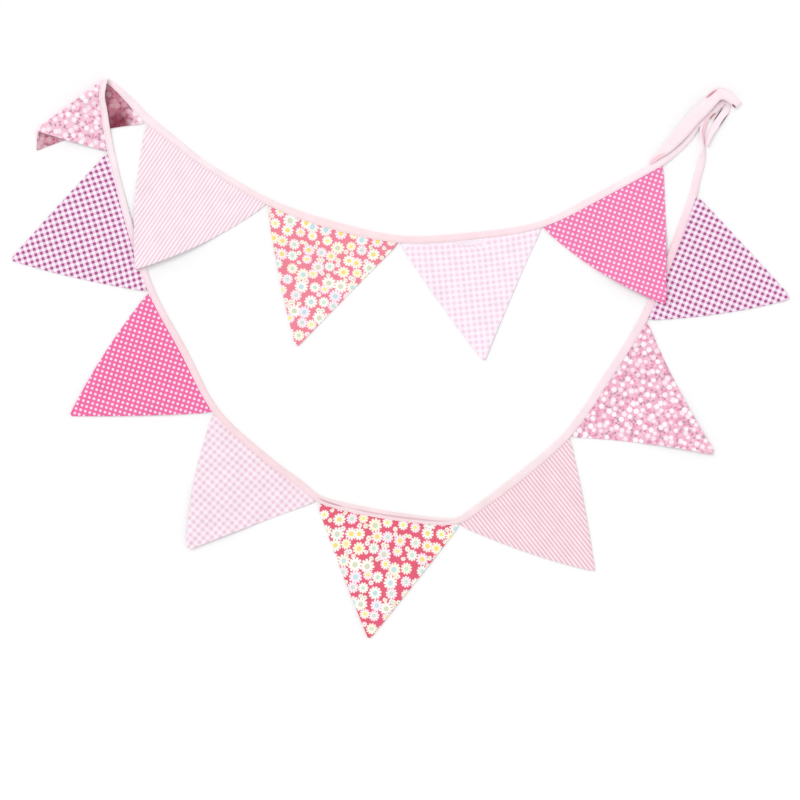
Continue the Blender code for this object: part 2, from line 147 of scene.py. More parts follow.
class PrintBed:
    """The node tree of one cloth while its inks are laid one over another."""

    def __init__(self, tree: bpy.types.NodeTree, ground: str) -> None:
        """Starts with bare cloth of the ground colour, and its places in millimetres.

        Args:
            tree: the node tree of the cloth's material.
            ground: the bare cloth's hex colour.
        """
        self.tree = tree
        chart = self.node("UVMap", uv_map=PRINT_MAP)
        self.place = self.node("Mapping", {"Vector": chart, "Scale": (1 / MM, 1 / MM, 1 / MM)})
        self.colour: Source = linear(ground)

    def node(
        self, kind: str, inputs: dict[int | str, Source] | None = None, **settings: object
    ) -> bpy.types.Node:
        """Adds one shader node with its settings and links.

        Args:
            kind: the node's type name, without the "ShaderNode" that it starts with.
            inputs: for each input's name or number, a value, a socket, or a node, whose first enabled
                output is then meant.
            settings: the node's own properties.

        Returns:
            The new node.
        """
        node = self.tree.nodes.new(f"ShaderNode{kind}")
        for name, value in settings.items():
            setattr(node, name, value)
        for key, value in (inputs or {}).items():
            if isinstance(value, bpy.types.Node):
                value = next(socket for socket in value.outputs if socket.enabled)
            if isinstance(value, bpy.types.NodeSocket):
                self.tree.links.new(value, node.inputs[key])
            else:
                node.inputs[key].default_value = value
        return node

    def maths(self, operation: str, *values: Source) -> bpy.types.Node:
        """Adds one Math node that takes the values in order."""
        return self.node("Math", dict(enumerate(values)), operation=operation)

    def vectors(self, operation: str, *values: Source) -> bpy.types.Node:
        """Adds one Vector Math node that takes the values in order."""
        return self.node("VectorMath", dict(enumerate(values)), operation=operation)

    def ink(self, colour: Source, mask: Source, blend: str = "MIX") -> None:
        """Lays one ink where the mask is 1. A "MULTIPLY" blend only darkens what is there."""
        inputs = {0: mask, 6: self.colour, 7: colour}
        self.colour = self.node("Mix", inputs, data_type="RGBA", blend_type=blend)

    def repeat(self, pitch_mm: float, turn: float = 0.0, shift: tuple[float, float] = (0.0, 0.0)) -> Source:
        """The cloth's places counted in repeats.

        Args:
            pitch_mm: the repeat's length.
            turn: how far the repeats are turned, in degrees.
            shift: how far they are moved, in repeats.

        Returns:
            A node whose output is the place in repeats.
        """
        across = 1.0 / pitch_mm
        settings = {
            "Vector": self.place,
            "Scale": (across, across, across),
            "Rotation": (0.0, 0.0, math.radians(turn)),
            "Location": (shift[0], shift[1], 0.0),
        }
        return self.node("Mapping", settings)

    def step(self, value: Source, edge: Source, softness: float) -> Source:
        """1 where a value lies below an edge and 0 above it, with a soft change between.

        Args:
            value: what is tested.
            edge: where it changes.
            softness: the width of the change.

        Returns:
            A node whose output is the mask.
        """
        past = self.maths("SUBTRACT", edge, value)
        limits = {"Value": past, "From Min": -softness / 2, "From Max": softness / 2}
        return self.node("MapRange", limits, interpolation_type="SMOOTHSTEP")

    def fade(self, value: Source, full_to: float, gone_at: float) -> Source:
        """1 up to one value, 0 past another, and a smooth fall between."""
        return self.step(value, (full_to + gone_at) / 2, gone_at - full_to)

    def rescale(self, value: Source, old: tuple[float, float], new: tuple[float, float]) -> Source:
        """Takes a value from one range to another, and holds it there."""
        ends = {"From Min": old[0], "From Max": old[1], "To Min": new[0], "To Max": new[1]}
        return self.node("MapRange", {"Value": value} | ends)

    def band(self, coordinate: Source, share: float, softness: float) -> Source:
        """1 on a woven band and 0 on the cloth between, once a repeat.

        Args:
            coordinate: a place in repeats, along one way only.
            share: the band's share of the repeat.
            softness: the width of its edge, in repeats.

        Returns:
            A node whose output is the mask.
        """
        folded = self.maths("PINGPONG", coordinate, 0.5)
        return self.step(folded, share / 2, softness)

    def ink_by_chance(self, inks: tuple[str, ...], chance: Source) -> Source:
        """One of several inks, picked by a chance between 0 and 1.

        Args:
            inks: the inks' hex colours.
            chance: a value from 0 to 1.

        Returns:
            A node whose output is the colour.
        """
        node = self.node("ValToRGB", {"Fac": chance})
        ramp = node.color_ramp
        ramp.interpolation = "CONSTANT"
        ramp.elements[0].color = linear(inks[0])
        ramp.elements.remove(ramp.elements[1])
        for number, ink in enumerate(inks[1:], start=1):
            ramp.elements.new(number / len(inks)).color = linear(ink)
        return node


@dataclass(frozen=True)
class WovenCotton:
    """Plain-woven quilting cotton, piece-dyed or printed: matt, with a thread grid and a faint mottle."""

    name: str
    ground: str
    roughness: float = 0.9
    # A real thread is 0.3 mm wide. It is drawn at 0.9 mm, so that the weave shows at the size of the photo.
    thread_mm: float = 0.9
    thread_raise_mm: float = 0.2
    # Painted light and shade on the weave: how much the colour is darkened between its threads and lightened
    # on them
    thread_light: tuple[float, float] = (0.96, 1.03)
    mottle_mm: float = 22.0
    mottle: float = 0.035
    crumple_mm: float = 9.0
    crumple_raise_mm: float = 0.8

    def print_on(self, bed: PrintBed) -> None:
        """Lays the print's inks. Plain cotton has none."""

    def weave(self, bed: PrintBed) -> Source:
        """The height of the cloth's threads, which pass over and under each other.

        Args:
            bed: the cloth's inks.

        Returns:
            A node whose output runs from -1 to 1.
        """
        grid = bed.node("SeparateXYZ", {0: bed.repeat(2 * self.thread_mm)})
        waves = []
        for way in ("X", "Y"):
            turned = bed.maths("MULTIPLY", grid.outputs[way], math.tau)
            waves.append(bed.maths("SINE", turned))
        return bed.maths("MULTIPLY", *waves)

    def lit(self, bed: PrintBed, threads: Source) -> bpy.types.Node:
        """The printed colour with its faint mottle, and with painted light and shade on its threads.

        Args:
            bed: the cloth, with its inks laid.
            threads: the height of its threads.

        Returns:
            A node whose output is the colour.
        """
        clouds = {"Vector": bed.repeat(self.mottle_mm), "Scale": 1.0, "Detail": 3.0}
        cloud = bed.node("TexNoise", clouds).outputs["Fac"]
        broad = bed.rescale(cloud, (0.3, 0.7), (1.0 - self.mottle, 1.0 + self.mottle))
        # Painted light and shade on the threads, over the mottle's random tone
        light = bed.maths("MULTIPLY", broad, bed.rescale(threads, (-1.0, 1.0), self.thread_light))
        cloth = bed.colour[:3] if isinstance(bed.colour, tuple) else bed.colour
        return bed.node("VectorMath", {0: cloth, "Scale": light}, operation="SCALE")

    def raised(self, bed: PrintBed, threads: Source) -> bpy.types.Node:
        """The cloth's normal, with its threads and its finest crumples.

        Args:
            bed: the cloth, with its inks laid.
            threads: the height of its threads.

        Returns:
            A node whose output is the normal.
        """
        woven = {"Strength": 0.35, "Distance": self.thread_raise_mm * MM, "Height": threads}
        over_threads = bed.node("Bump", woven)
        soft = {"Vector": bed.repeat(self.crumple_mm), "Scale": 1.0, "Detail": 2.0, "Roughness": 0.4}
        height = bed.node("TexNoise", soft).outputs["Fac"]
        crumpled = {"Strength": 0.5, "Distance": self.crumple_raise_mm * MM}
        return bed.node("Bump", crumpled | {"Height": height, "Normal": over_threads})

    def material(self) -> bpy.types.Material:
        """Makes the cloth's material.

        Returns:
            A material named for the cloth.
        """
        material = bpy.data.materials.new(self.name)
        material.use_nodes = True
        tree = material.node_tree
        shader = tree.nodes["Principled BSDF"]
        bed = PrintBed(tree, self.ground)
        self.print_on(bed)
        threads = self.weave(bed)
        tree.links.new(self.lit(bed, threads).outputs[0], shader.inputs["Base Color"])
        tree.links.new(self.raised(bed, threads).outputs[0], shader.inputs["Normal"])
        shader.inputs["Roughness"].default_value = self.roughness
        shader.inputs["Specular IOR Level"].default_value = 0.25
        shader.inputs["Sheen Weight"].default_value = 0.12
        shader.inputs["Sheen Roughness"].default_value = 0.5
        return material


@dataclass(frozen=True)
class PolkaCotton(WovenCotton):
    """Cotton printed with small dots in staggered rows."""

    dot_ink: str = "#FFE0F2"
    pitch_mm: float = 6.85
    dot_mm: float = 3.8
    softness: float = 0.16

    def print_on(self, bed: PrintBed) -> None:
        """Lays one dot in each square of a grid that stands on its corner.

        Args:
            bed: the cloth's inks.
        """
        square = bed.vectors("FRACTION", bed.repeat(self.pitch_mm, 45.0))
        from_middle = bed.vectors("SUBTRACT", square, (0.5, 0.5, 0.0))
        away = bed.vectors("LENGTH", from_middle).outputs["Value"]
        bed.ink(linear(self.dot_ink), bed.step(away, self.dot_mm / 2 / self.pitch_mm, self.softness))


@dataclass(frozen=True)
class GinghamCotton(WovenCotton):
    """Cotton woven in bands both ways: pale between them, half dyed on one and fully dyed where two cross."""

    half_dyed: str = "#EBC8E0"
    full_dyed: str = "#AA4F8B"
    pitch_mm: float = 8.2
    band_share: float = 0.5
    softness: float = 0.1

    def print_on(self, bed: PrintBed) -> None:
        """Weaves the bands of both ways.

        Args:
            bed: the cloth's inks.
        """
        grid = bed.node("SeparateXYZ", {0: bed.repeat(self.pitch_mm)})
        bands = [bed.band(grid.outputs[way], self.band_share, self.softness) for way in ("X", "Y")]
        either = bed.maths("MAXIMUM", *bands)
        both = bed.maths("MULTIPLY", *bands)
        bed.ink(linear(self.half_dyed), either)
        bed.ink(linear(self.full_dyed), both)


@dataclass(frozen=True)
class StripedCotton(WovenCotton):
    """Cotton woven in narrow stripes that run down the pennant."""

    stripe_ink: str = "#F1CFDC"
    pitch_mm: float = 4.9
    stripe_share: float = 0.5
    softness: float = 0.16

    def print_on(self, bed: PrintBed) -> None:
        """Weaves the stripes."""
        grid = bed.node("SeparateXYZ", {0: bed.repeat(self.pitch_mm)})
        bed.ink(linear(self.stripe_ink), bed.band(grid.outputs["X"], self.stripe_share, self.softness))


@dataclass(frozen=True)
class Blossom:
    """One size of round flower, scattered over a printed cotton."""

    spacing_mm: float
    across_mm: float
    petals: int
    petal_inks: tuple[str, ...]
    heart_inks: tuple[str, ...]
    heart_share: float = 0.32
    notch: float = 0.3
    jitter: float = 0.55
    size_spread: float = 0.1
    softness: float = 0.06
    heart_softness: float = 0.08
    shift: tuple[float, float] = (0.0, 0.0)
    # How much of its own radius this flower keeps clear of a larger one
    clear_share: float = 0.55

    def nearest(self, bed: PrintBed, place: Source) -> bpy.types.Node:
        """The cell of the flower that lies nearest to a place counted in spacings."""
        settings = {"Vector": place, "Scale": 1.0, "Randomness": self.jitter}
        return bed.node("TexVoronoi", settings, voronoi_dimensions="2D", feature="F1")

    def rim(self, bed: PrintBed, from_middle: Source, turns: Source) -> Source:
        """The flower's rim as a share of its reach: 1 at each petal's tip, and less between petals.

        Args:
            bed: the cloth's inks.
            from_middle: the way from the flower's middle to the place.
            turns: how far the flower is turned, in whole turns.

        Returns:
            A node whose output is the share.
        """
        axes = bed.node("SeparateXYZ", {0: from_middle})
        angle = bed.maths("ARCTAN2", axes.outputs["Y"], axes.outputs["X"])
        turned = bed.maths("MULTIPLY_ADD", turns, math.tau, angle)
        waves = bed.maths("MULTIPLY", turned, self.petals / 2)
        lobe = bed.maths("ABSOLUTE", bed.maths("COSINE", waves))
        # Past 0.7 of the wave the rim is at its full reach, which makes the petals broad
        return bed.rescale(lobe, (0.0, 0.7), (1.0 - self.notch, 1.0))

    def print_on(self, bed: PrintBed, clear_of: "Blossom | None" = None) -> None:
        """Lays the petals and then the hearts.

        Args:
            bed: the cloth's inks.
            clear_of: a larger flower that this one grows between, and never over.
        """
        place = bed.repeat(self.spacing_mm, shift=self.shift)
        cell = self.nearest(bed, place)
        chances = bed.node("SeparateColor", {0: cell.outputs["Color"]})
        from_middle = bed.vectors("SUBTRACT", place, cell.outputs["Position"])
        rim = self.rim(bed, from_middle, chances.outputs["Blue"])
        radius = self.across_mm / 2 / self.spacing_mm
        sizes = (radius * (1.0 - self.size_spread), radius * (1.0 + self.size_spread))
        reach = bed.rescale(chances.outputs["Green"], (0.0, 1.0), sizes)
        petals = bed.step(cell.outputs["Distance"], bed.maths("MULTIPLY", reach, rim), self.softness)
        heart_edge = bed.maths("MULTIPLY", reach, self.heart_share)
        heart = bed.step(cell.outputs["Distance"], heart_edge, self.heart_softness)
        if clear_of is not None:
            kept = self.clearance(bed, cell, clear_of)
            petals = bed.maths("MULTIPLY", petals, kept)
            heart = bed.maths("MULTIPLY", heart, kept)
        bed.ink(bed.ink_by_chance(self.petal_inks, chances.outputs["Red"]), petals)
        bed.ink(bed.ink_by_chance(self.heart_inks, chances.outputs["Green"]), heart)

    def clearance(self, bed: PrintBed, cell: bpy.types.Node, other: "Blossom") -> Source:
        """1 where this flower's middle lies outside the nearest larger flower, and otherwise 0.

        Args:
            bed: the cloth's inks.
            cell: this flower's cell.
            other: the larger flower.

        Returns:
            A node whose output is 1 or 0.
        """
        ratio = self.spacing_mm / other.spacing_mm
        shift = tuple(theirs - ours * ratio for theirs, ours in zip(other.shift, self.shift))
        settings = {"Vector": cell.outputs["Position"], "Scale": (ratio,) * 3, "Location": (*shift, 0.0)}
        middle = bed.node("Mapping", settings)
        near = other.nearest(bed, middle)
        least = (other.across_mm + self.across_mm * self.clear_share) / 2 / other.spacing_mm
        return bed.maths("GREATER_THAN", near.outputs["Distance"], least)


@dataclass(frozen=True, kw_only=True)
class FloweredCotton(WovenCotton):
    """Cotton printed with large flowers and with small ones between them."""

    large: Blossom
    small: Blossom

    def print_on(self, bed: PrintBed) -> None:
        """Lays the small flowers between the large ones, and then the large ones."""
        self.small.print_on(bed, clear_of=self.large)
        self.large.print_on(bed)


@dataclass(frozen=True, kw_only=True)
class ShadedFoldCotton(FloweredCotton):
    """The flowered cotton of the folded pennant, whose lower layer lies in the shade of the fold."""

    # Places are on the print map, in millimetres. Its lower half is the lower layer.
    layer_edge: float = -6.0
    layer_softness: float = 5.0
    shade: str = "#C99EA5"
    # The way in which the shade fades, how far along it the shade is full, and where it is gone
    fading: tuple[float, float] = (-0.81, -0.587)
    shaded_to: float = 28.0
    faded_at: float = 54.0
    # Along the same way, the shade has this share at the tip, and grows to all of it
    tip_shade: float = 0.75
    tip_to: float = -45.0
    full_from: float = -10.0
    # The corner by the tape where the shade is deepest, how far around it that is full, and where it is gone
    deep_shade: str = "#B38091"
    deepest: tuple[float, float] = (19.5, -67.9)
    deep_to: float = 7.0
    deep_until: float = 27.0

    def print_on(self, bed: PrintBed) -> None:
        """Lays the flowers and then darkens the lower layer.

        Args:
            bed: the cloth's inks.
        """
        super().print_on(bed)
        along = bed.vectors("DOT_PRODUCT", bed.place, (*self.fading, 0.0)).outputs["Value"]
        depth = bed.rescale(along, (self.tip_to, self.full_from), (self.tip_shade, 1.0))
        shaded = bed.maths("MULTIPLY", bed.fade(along, self.shaded_to, self.faded_at), depth)
        ways = bed.node("SeparateXYZ", {0: bed.place})
        lower = bed.step(ways.outputs["Y"], self.layer_edge, self.layer_softness)
        bed.ink(linear(self.shade), bed.maths("MULTIPLY", lower, shaded), "MULTIPLY")
        away = bed.vectors("DISTANCE", bed.place, (*self.deepest, 0.0)).outputs["Value"]
        deep = bed.fade(away, self.deep_to, self.deep_until)
        bed.ink(linear(self.deep_shade), bed.maths("MULTIPLY", lower, deep), "MULTIPLY")


@dataclass(frozen=True)
class TapeShade:
    """A stretch of tape with painted shade, where it turns away from the light or lies in shadow, by its
    place on the print map in millimetres.
    """

    reached: float
    from_edge: float
    half_long: float
    half_across: float
    ink: str
    # The shade is full up to this share of the oval, and gone at the other
    full_to: float = 0.6
    gone_at: float = 1.1

    def print_on(self, bed: PrintBed) -> None:
        """Lays the painted shade as a soft oval.

        Args:
            bed: the tape's inks.
        """
        gap = bed.vectors("SUBTRACT", bed.place, (self.reached, self.from_edge, 0.0))
        share = bed.vectors("DIVIDE", gap, (self.half_long, self.half_across, 1.0))
        away = bed.vectors("LENGTH", share).outputs["Value"]
        bed.ink(linear(self.ink), bed.fade(away, self.full_to, self.gone_at))


@dataclass(frozen=True)
class FoldedTape(WovenCotton):
    """Cotton bias tape: plain, pressed, with painted shade along the groove where its stitching draws it in.
    """

    # The groove's line of painted shade: its colour, how far it lies from the sewn edge, its half width and
    # its soft edge
    groove_shade: str = "#F3CDD6"
    groove_mm: float = 1.7
    groove_half_mm: float = 0.45
    groove_softness_mm: float = 0.8
    # The cloth's tone along the tape from its upper free end, which varies as the photo's light does
    tones: tuple[tuple[float, str], ...] = (
        (0.0, "#FCE9EF"),
        (300.0, "#FCECF2"),
        (450.0, "#FBE8EE"),
        (640.0, "#FBE0E6"),
        (850.0, "#FAE1E4"),
        (1050.0, "#F9E9ED"),
        (1230.0, "#FBE8EE"),
        (1450.0, "#F9EAF0"),
        (1650.0, "#F9DCE2"),
        (1850.0, "#F6DCE1"),
        (2250.0, "#F5E2E5"),
        (2460.0, "#F8E4EB"),
        (2650.0, "#F9D8E2"),
        (2790.0, "#FCEAF0"),
    )
    # Ovals of painted shade, and thin dark lines of painted shadow where one pass of tape lies under or
    # beside another
    shades: tuple[TapeShade, ...] = (
        TapeShade(14.0, 2.5, 15.0, 3.5, "#FBD0D8"),
        TapeShade(134.0, 17.4, 11.5, 4.6, "#CF8E99"),
        TapeShade(176.0, 1.0, 4.5, 1.8, "#8F5A6C"),
        TapeShade(1962.0, 5.4, 22.0, 1.5, "#D3A6B1"),
        TapeShade(2060.0, 5.6, 88.0, 1.7, "#E3BDC5"),
        TapeShade(2828.0, 1.5, 24.0, 5.0, "#FBCDD8"),
        TapeShade(2856.0, 0.5, 8.0, 1.8, "#CF6A7C"),
        TapeShade(2914.0, 0.3, 14.0, 1.3, "#4A2530"),
        TapeShade(2919.0, 12.6, 20.0, 2.0, "#4A2E38"),
    )

    def print_on(self, bed: PrintBed) -> None:
        """Lays the tones with their painted light and shade, the painted shade of the groove along the sewn
        edge, and the painted shades. The edge is 0 on the second axis.

        Args:
            bed: the tape's inks.
        """
        ways = bed.node("SeparateXYZ", {0: bed.place})
        length = self.tones[-1][0]
        share = bed.maths("DIVIDE", ways.outputs["X"], length)
        toned = bed.node("ValToRGB", {"Fac": share})
        ramp = toned.color_ramp
        ramp.elements.remove(ramp.elements[1])
        ramp.elements[0].color = linear(self.tones[0][1])
        for reached, tone in self.tones[1:]:
            ramp.elements.new(reached / length).color = linear(tone)
        bed.ink(toned, 1.0)
        # A line of painted shade along the groove under the stitches
        gap = bed.maths("SUBTRACT", ways.outputs["Y"], self.groove_mm)
        away = bed.maths("ABSOLUTE", gap)
        bed.ink(linear(self.groove_shade), bed.step(away, self.groove_half_mm, self.groove_softness_mm))
        for shade in self.shades:
            shade.print_on(bed)


DAISY_LARGE = Blossom(
    spacing_mm=18.2,
    across_mm=17.2,
    petals=11,
    petal_inks=("#FFFEF6", "#FDF8E4", "#FCEEF6", "#F6FBF4", "#FBF3EE"),
    heart_inks=("#F6EE86", "#CFE6D6", "#F6E07C", "#C6E3EA", "#D9DDC2"),
    heart_share=0.38,
    notch=0.4,
    jitter=0.5,
    size_spread=0.2,
)
DAISY_SMALL = Blossom(
    spacing_mm=7.4,
    across_mm=7.4,
    petals=7,
    petal_inks=("#FDF6E6", "#FCEFF4", "#F8F6E4", "#F4F3EA"),
    heart_inks=("#E3CDB0", "#C5D6C4", "#E6BFB4"),
    heart_share=0.3,
    jitter=0.7,
    shift=(0.3, 0.6),
)
SPRIG_LARGE = Blossom(
    spacing_mm=10.8,
    across_mm=7.2,
    petals=5,
    petal_inks=("#FDF5FA", "#FCEEF5", "#FDF8FC", "#FAE4EE"),
    heart_inks=("#FBF0F5", "#F8E8EF", "#FCF4F8"),
    heart_share=0.22,
    notch=0.22,
    jitter=0.75,
    size_spread=0.18,
    softness=0.14,
)
SPRIG_LEAVES = Blossom(
    spacing_mm=4.2,
    across_mm=4.2,
    petals=2,
    petal_inks=("#EB9CBA", "#C48BA3", "#F6CCDC", "#BE9AAB", "#E48FAE", "#F8D2E0"),
    heart_inks=("#D98CA9", "#C48BA3", "#EDAAC3"),
    heart_share=0.2,
    notch=0.6,
    jitter=0.9,
    size_spread=0.25,
    softness=0.16,
    shift=(0.4, 0.2),
)

SEWING_THREAD = WovenCotton("sewing_thread_polyester_cotton", "#FFF6F8")


@dataclass
class ClothPiece:
    """A cloth of the bunting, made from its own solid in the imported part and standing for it."""

    node: str
    slot: Slot
    finish: WovenCotton
    fineness: int = 2
    turned_edge_mm: float = 0.35
    weld_mm: float = 0.002
    sharp_degrees: float = 72.0

    def merged_copy(self) -> bmesh.types.BMesh:
        """The solid's faces as one closed mesh of quads.

        Returns:
            A mesh that the caller frees or passes on.
        """
        mesh = bmesh.new()
        mesh.from_mesh(bpy.data.objects[self.node].data)
        for layer in list(mesh.loops.layers.uv):
            mesh.loops.layers.uv.remove(layer)
        bmesh.ops.remove_doubles(mesh, verts=mesh.verts, dist=self.weld_mm * MM)
        bmesh.ops.join_triangles(
            mesh,
            faces=mesh.faces,
            angle_face_threshold=math.radians(40),
            angle_shape_threshold=math.radians(100),
        )
        return mesh

    def round_edges(self, mesh: bmesh.types.BMesh) -> None:
        """Bevels the cloth's cut or turned edges, which are the sharp ones.

        Args:
            mesh: the cloth.
        """
        limit = math.radians(self.sharp_degrees)
        sharp = [edge for edge in mesh.edges if edge.is_manifold and edge.calc_face_angle() > limit]
        bmesh.ops.bevel(
            mesh,
            geom=sharp,
            offset=self.turned_edge_mm * MM,
            affect="EDGES",
            segments=2,
            profile=0.5,
            material=-1,
            clamp_overlap=True,
        )

    def map_print(self, mesh: bmesh.types.BMesh, places: dict[int, tuple[float, float]]) -> None:
        """Writes the print map from each corner point's place on the unfolded cloth.

        Args:
            mesh: the cloth.
            places: for each point's number, its place on the cloth in metres.
        """
        chart = mesh.loops.layers.uv.new(PRINT_MAP)
        for face in mesh.faces:
            for corner in face.loops:
                corner[chart].uv = places[corner.vert.index]

    def subdivided(self, mesh: bmesh.types.BMesh) -> bpy.types.Object:
        """Makes the cloth's object, with its curves smoothed and the modifier applied.

        Args:
            mesh: the cloth, which is freed.

        Returns:
            The object, whose mesh is final apart from its creases.
        """
        thing = add_mesh(f"cloth_{self.node}", mesh)
        rough = thing.data
        smooth = thing.modifiers.new("Soft cloth", "SUBSURF")
        smooth.levels = self.fineness
        smooth.render_levels = self.fineness
        bpy.context.view_layer.update()
        graph = bpy.context.evaluated_depsgraph_get()
        final = bpy.data.meshes.new_from_object(thing.evaluated_get(graph))
        thing.modifiers.clear()
        thing.data = final
        bpy.data.meshes.remove(rough)
        final.name = thing.name
        final.materials.clear()
        final.materials.append(self.finish.material())
        final.shade_smooth()
        return thing

    def settle(self, thing: bpy.types.Object) -> None:
        """Puts the piece in its solid's place and says what it takes its finish from.

        Args:
            thing: the cloth's object.
        """
        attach(thing, BODY)
        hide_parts(self.node)
        log.info("%s: %d faces, %s", thing.name, len(thing.data.polygons), self.finish.name)


@dataclass
class Pennant(ClothPiece):
    """A flat pennant: the two ends of its seam and its tip, in the layout's millimetres."""

    start: tuple[float, float] = (0.0, 0.0)
    end: tuple[float, float] = (0.0, 0.0)
    tip: tuple[float, float] = (0.0, 0.0)
    seam_rise_mm: float = 0.0
    # How far below the seam its bow has faded from the cloth's grain
    rise_until_mm: float = 120.0
    # Creases: their height, and how long they are along the seam and down from it
    crease_mm: float = 0.5
    broad_crease_mm: tuple[float, float] = (45.0, 70.0)
    fine_crease_mm: tuple[float, float] = (16.0, 30.0)
    fine_share: float = 0.4
    # Puckers, which fade below the seam
    pucker_mm: float = 0.35
    pucker_size_mm: tuple[float, float] = (6.0, 40.0)
    pucker_fade_mm: float = 14.0
    # The cloth is held flat this far below the seam, and free this much further on
    held_mm: float = 2.0
    freed_mm: float = 12.0
    seed: float = 0.0

    def ways(self) -> tuple[Vector, Vector, Vector, float]:
        """Measures the seam.

        Returns:
            Its middle, the way along it, the way down to the tip and its length.
        """
        start, end, tip = laid(*self.start), laid(*self.end), laid(*self.tip)
        middle = (start + end) / 2
        along = (end - start).normalized()
        down = along.cross(UP)
        if down.dot(tip - middle) < 0.0:
            down = -down
        return middle, along, down, (end - start).length

    def place_on_cloth(self, point: Vector) -> tuple[float, float]:
        """Where a point lies on the cloth.

        Args:
            point: a place in the part's frame.

        Returns:
            Its distance along the seam from the seam's middle, and down from the seam.
        """
        middle, along, down, length = self.ways()
        across, below = (point - middle).dot(along), (point - middle).dot(down)
        bend = 1.0 - min((2.0 * across / length) ** 2, 1.0)
        below += self.seam_rise_mm * MM * bend * (1.0 - eased(below / (self.rise_until_mm * MM)))
        return across, below

    def ripple(self, place: tuple[float, float], size_mm: tuple[float, float], layer: float) -> float:
        """The height of one layer of ripples, from about -1 to 1.

        Args:
            place: where on the cloth, in metres.
            size_mm: how long the ripples are along the seam and down from it.
            layer: a number that sets them apart from the pennant's other ripples.

        Returns:
            The height there.
        """
        along, down = (way / (size * MM) for way, size in zip(place, size_mm))
        return noise.noise(Vector((along, down, self.seed + layer)))

    def crumple(self, thing: bpy.types.Object) -> None:
        """Raises soft creases all over the cloth and short puckers below its seam.

        Args:
            thing: the cloth's object.
        """
        for vert in thing.data.vertices:
            place = self.place_on_cloth(vert.co)
            below = place[1]
            free = eased((below - self.held_mm * MM) / (self.freed_mm * MM))
            broad = self.ripple(place, self.broad_crease_mm, 0.0) + 0.5
            fine = self.ripple(place, self.fine_crease_mm, 7.0) + 0.5
            puckers = 0.5 + 0.5 * self.ripple(place, self.pucker_size_mm, 3.0)
            height = self.crease_mm * (broad + self.fine_share * fine)
            height += self.pucker_mm * puckers * math.exp(-max(below, 0.0) / (self.pucker_fade_mm * MM))
            vert.co.z += max(height, 0.0) * free * MM

    def cloth(self) -> bpy.types.Object:
        """Makes the cloth with its rounded edges and its print map.

        Returns:
            The cloth, still without creases.
        """
        mesh = self.merged_copy()
        self.round_edges(mesh)
        mesh.verts.index_update()
        self.map_print(mesh, {vert.index: self.place_on_cloth(vert.co) for vert in mesh.verts})
        return self.subdivided(mesh)

    def build(self) -> bpy.types.Object:
        """Builds the pennant's cloth.

        Returns:
            The finished piece.
        """
        thing = self.cloth()
        self.crumple(thing)
        self.settle(thing)
        return thing


@dataclass
class FoldedPennant(Pennant):
    """The pennant that is folded over itself: its fold runs from one point to another along its crest."""

    fold_from: tuple[float, float] = (0.0, 0.0)
    fold_to: tuple[float, float] = (0.0, 0.0)
    # The tape's middle line where the top layer is sewn to it. Right of it, only the lower layer lies.
    tape_head: tuple[float, float] = (-426.5, 397.0)
    tape_foot: tuple[float, float] = (-411.0, 295.0)
    # In the fold's roll the lower layer ends at the first height, and the top one starts this much above it
    roll_from_mm: float = 1.5
    roll_rise_mm: float = 4.0
    # The roll ends over a width that starts this far in from the crest, and takes up as much cloth
    roll_to_mm: float = 2.0
    roll_width_mm: float = 6.0
    # The top layer lies higher than this, and higher still near the fold's head, where it has tape below it
    top_above_mm: float = 1.7
    head_above_mm: float = 3.0
    head_reach_mm: float = 45.0

    def place_on_cloth(self, point: Vector) -> tuple[float, float]:
        """Where a point lies on the cloth once the fold is opened.

        Args:
            point: a place in the part's frame.

        Returns:
            Its distance along the fold from where that starts, and across the fold: above 0 on the top layer
            and below 0 on the lower one.
        """
        first, last = laid(*self.fold_from), laid(*self.fold_to)
        along = (last - first).normalized()
        inwards = along.cross(UP)
        if inwards.dot(-first) < 0.0:
            inwards = -inwards
        below = (point - first).dot(inwards)
        in_roll = eased((point.z - self.roll_from_mm * MM) / (self.roll_rise_mm * MM))
        past_roll = eased((below - self.roll_to_mm * MM) / (self.roll_width_mm * MM))
        upper = in_roll + (float(self.on_top(point)) - in_roll) * past_roll
        return (point - first).dot(along), (below + self.roll_width_mm * MM) * (upper * 2.0 - 1.0)

    def on_top(self, point: Vector) -> bool:
        """Whether a point away from the fold lies on the top layer.

        Args:
            point: a place in the part's frame.

        Returns:
            True where it is left of the tape, and is either high or past the lower layer's side.
        """
        start, tip = laid(*self.start), laid(*self.tip)
        head, foot = laid(*self.tape_head), laid(*self.tape_foot)
        past_low_side = (tip - start).cross(point - start).z > 0.0
        left_of_tape = (foot - head).cross(point - head).z < 0.0
        by_head = (point - laid(*self.fold_from)).length < self.head_reach_mm * MM
        least = self.head_above_mm if by_head else self.top_above_mm
        return left_of_tape and (point.z > least * MM or past_low_side)

    def build(self) -> bpy.types.Object:
        """Builds the folded pennant's cloth.

        Returns:
            The finished piece.
        """
        thing = self.cloth()
        self.settle(thing)
        return thing


@dataclass
class TapeFrame:
    """One cut across the tape: where it is, how far along, and the ways across and through it."""

    middle: Vector
    reached: float
    across: Vector
    through: Vector
    open_side: float
    width: float
    above: float
    below: float


